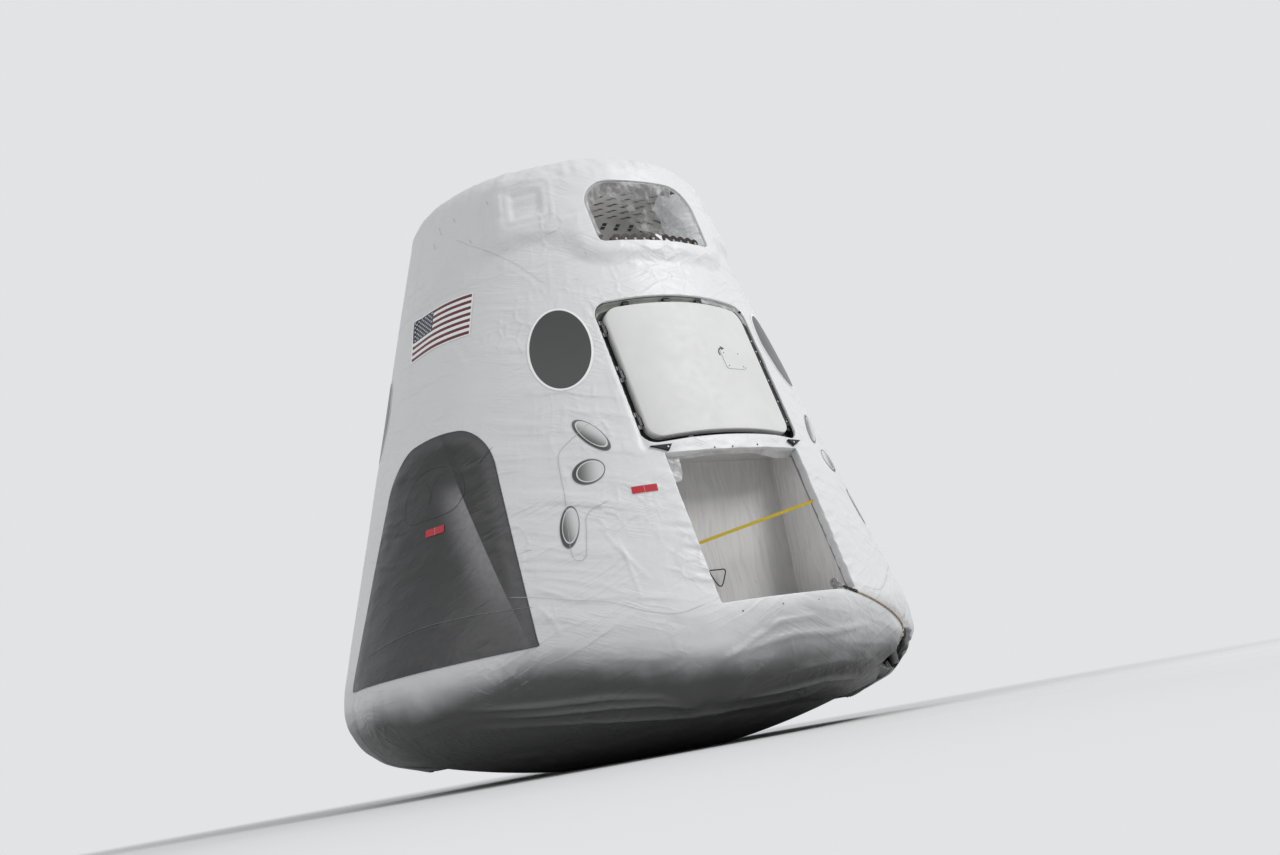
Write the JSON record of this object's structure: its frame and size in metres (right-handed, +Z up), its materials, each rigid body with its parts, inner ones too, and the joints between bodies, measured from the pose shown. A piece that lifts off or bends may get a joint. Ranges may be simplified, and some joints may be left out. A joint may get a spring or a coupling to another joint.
{
  "type": "space capsule recovery-training mock-up",
  "caption": "Blunt cone capsule mock-up in white film over hollow wall panels, with a hinged side hatch, open lower and upper bays, window and pod panels, tow point and deck.",
  "frame": {"origin": "centre of the flat foot of the dished base, on the floor", "axes": "+Z up along the axis of the body; the side hatch faces -Y and +X is to the right of someone facing the hatch"},
  "size_m": [4.0024, 4, 4.136],
  "materials": {
    "skin": "stretched white film, satin",
    "base": "grey coated plate",
    "deck": "grey paint",
    "bay_liner": "grey panel",
    "links": "dark brown links",
    "loop_rope": "black rope",
    "strap": "yellow webbing",
    "frame": "grey-green primer",
    "seal": "black rubber",
    "hinge": "blackened steel",
    "pod": "dark grey film",
    "window": "dark grey film",
    "nozzle": "grey film, shaded",
    "flag": "striped film",
    "tow_liner": "black liner",
    "steel": "galvanised steel",
    "tube": "grey paint",
    "rope": "white and brown rope",
    "door": "white gloss paint"
  },
  "bodies": {
    "hull": {"heat_shield": "base", "shoulder_ring": "skin", "cabin_floor": "deck", "wall_front": "skin", "wall_left": "skin", "wall_right": "skin", "wall_rear_left": "skin", "wall_rear_right": "skin", "crown_shell": "skin", "drogue_tub": "bay_liner", "riser_links_left": "links", "riser_links_right": "links", "bay_back": "bay_liner", "bay_roof": "bay_liner", "bay_left": "bay_liner", "bay_right": "bay_liner", "grab_loop": "loop_rope", "yellow_strap": "strap", "hatch_frame": "frame", "hatch_seal": "seal", "hatch_strip": "seal", "frame_knuckles": "hinge", "pod_front_left": "pod", "pod_front_right": "pod", "pod_rear_left": "pod", "pod_rear_right": "pod", "window_front_left": "window", "window_front_right": "window", "window_rear_left": "window", "window_rear_right": "window", "nozzles_left": "nozzle", "nozzles_right": "nozzle", "flag_panel": "flag", "tow_recess": "tow_liner", "tow_lug": "steel", "tow_tube": "tube", "sill_lug": "steel", "tether_line": "rope"},
    "hatch": {"hatch_door": "door", "door_knuckles": "hinge", "release_cover": "door"}
  },
  "joints": [
    {"name": "hatch_hinge", "type": "hinge", "parent": "hull", "child": "hatch", "pos_m": [-0.5925, -1.38359, 2.424], "axis": [0, -0.2936, -0.9559], "range_deg": [0, 100]}
  ]
}
